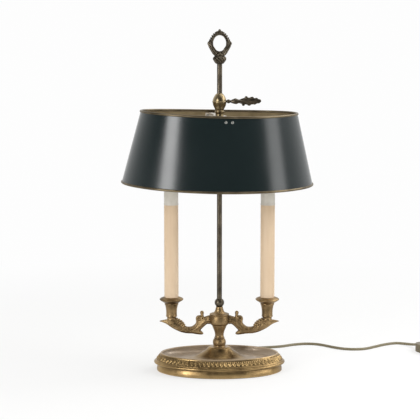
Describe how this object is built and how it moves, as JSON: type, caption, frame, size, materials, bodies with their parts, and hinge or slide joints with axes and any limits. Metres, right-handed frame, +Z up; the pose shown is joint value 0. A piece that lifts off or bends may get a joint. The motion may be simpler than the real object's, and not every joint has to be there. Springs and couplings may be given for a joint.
{
  "type": "bouillotte lamp",
  "caption": "Two-light table lamp on an oval dished base, with scrolled arms, candle sleeves and an oval painted shade that slides and turns on a central rod.",
  "frame": {"origin": "centre of the felt's lower face, under the rod, on the table", "axes": "+Z up along the rod, +X along the arms to the viewer's right, -Y towards the front"},
  "size_m": [0.6656, 0.319, 0.5996],
  "materials": {
    "aged_brass": "cast, browned patina",
    "dark_brass": "turned and cast, dark patina",
    "bright_brass": "polished",
    "steel": "plated",
    "shade_paint": "satin dark green outside, gold inside",
    "felt": "felt",
    "candle_card": "cream, matt",
    "holder_white": "off-white",
    "bulb_glass": "opal",
    "wire_cover": "insulation",
    "lead_cover": "olive-brown, satin",
    "switch_plastic": "gold-brown moulding",
    "plug_plastic": "brown moulding"
  },
  "bodies": {
    "stand": {"base_casting": "aged_brass", "felt_pad": "felt", "cover_plate": "steel", "base_washer": "steel", "base_nut": "steel", "tie_tube": "steel", "cord_relief": "plug_plastic", "stem_baluster": "aged_brass", "hub": "aged_brass", "hub_nut": "steel", "hub_cap": "aged_brass", "rod_collar": "dark_brass", "rod": "dark_brass", "finial_knot": "dark_brass", "ring_handle": "dark_brass", "arm_left": "aged_brass", "arm_right": "aged_brass", "arm_nuts": "steel", "cup_left": "aged_brass", "cup_right": "aged_brass", "drip_pan_left": "aged_brass", "drip_pan_right": "aged_brass", "pan_nuts": "steel", "candle_tube_left": "steel", "candle_tube_right": "steel", "candle_left": "candle_card", "candle_right": "candle_card", "lampholder_left": "holder_white", "lampholder_right": "holder_white", "screw_shells": "bright_brass", "holder_contacts": "bright_brass", "bulb_glass_left": "bulb_glass", "bulb_glass_right": "bulb_glass", "bulb_cap_left": "bright_brass", "bulb_cap_right": "bright_brass", "cord_inner": "lead_cover", "wire_joint": "holder_white", "wire_left": "wire_cover", "wire_right": "wire_cover", "cord_lead": "lead_cover", "switch_lower": "switch_plastic", "switch_upper": "switch_plastic", "switch_contacts": "bright_brass", "switch_screws": "steel", "cord_feed": "lead_cover", "cord_coil": "lead_cover", "cord_tie": "plug_plastic", "cord_tail": "lead_cover", "plug_relief": "plug_plastic", "plug_body": "plug_plastic", "plug_pins": "steel"},
    "carriage": {"shade_holder": "bright_brass", "lock_ring": "aged_brass"},
    "shade": {"shade_body": "shade_paint", "shade_rim_top": "bright_brass", "shade_rim_bottom": "bright_brass", "spider_bar": "aged_brass", "spider_rivets": "bright_brass"},
    "key": {"key_screw": "dark_brass"},
    "rocker": {"switch_rocker": "switch_plastic"}
  },
  "joints": [
    {"name": "shade_slide", "type": "slide", "parent": "stand", "child": "carriage", "axis": [0, 0, 1], "range_m": [-0.075, 0.05]},
    {"name": "shade_swivel", "type": "hinge", "parent": "carriage", "child": "shade", "pos_m": [0, 0, 0.4505], "axis": [0, 0, 1], "range_deg": [-55, 35]},
    {"name": "key_turn", "type": "hinge", "parent": "carriage", "child": "key", "pos_m": [0.02, 0, 0.476], "axis": [1, 0, 0], "range_deg": [0, 270]},
    {"name": "rocker_tilt", "type": "hinge", "parent": "stand", "child": "rocker", "pos_m": [0.39399, 0.12633, 0.0124], "axis": [0.9272, 0.3746, 0], "range_deg": [0, 16]}
  ]
}
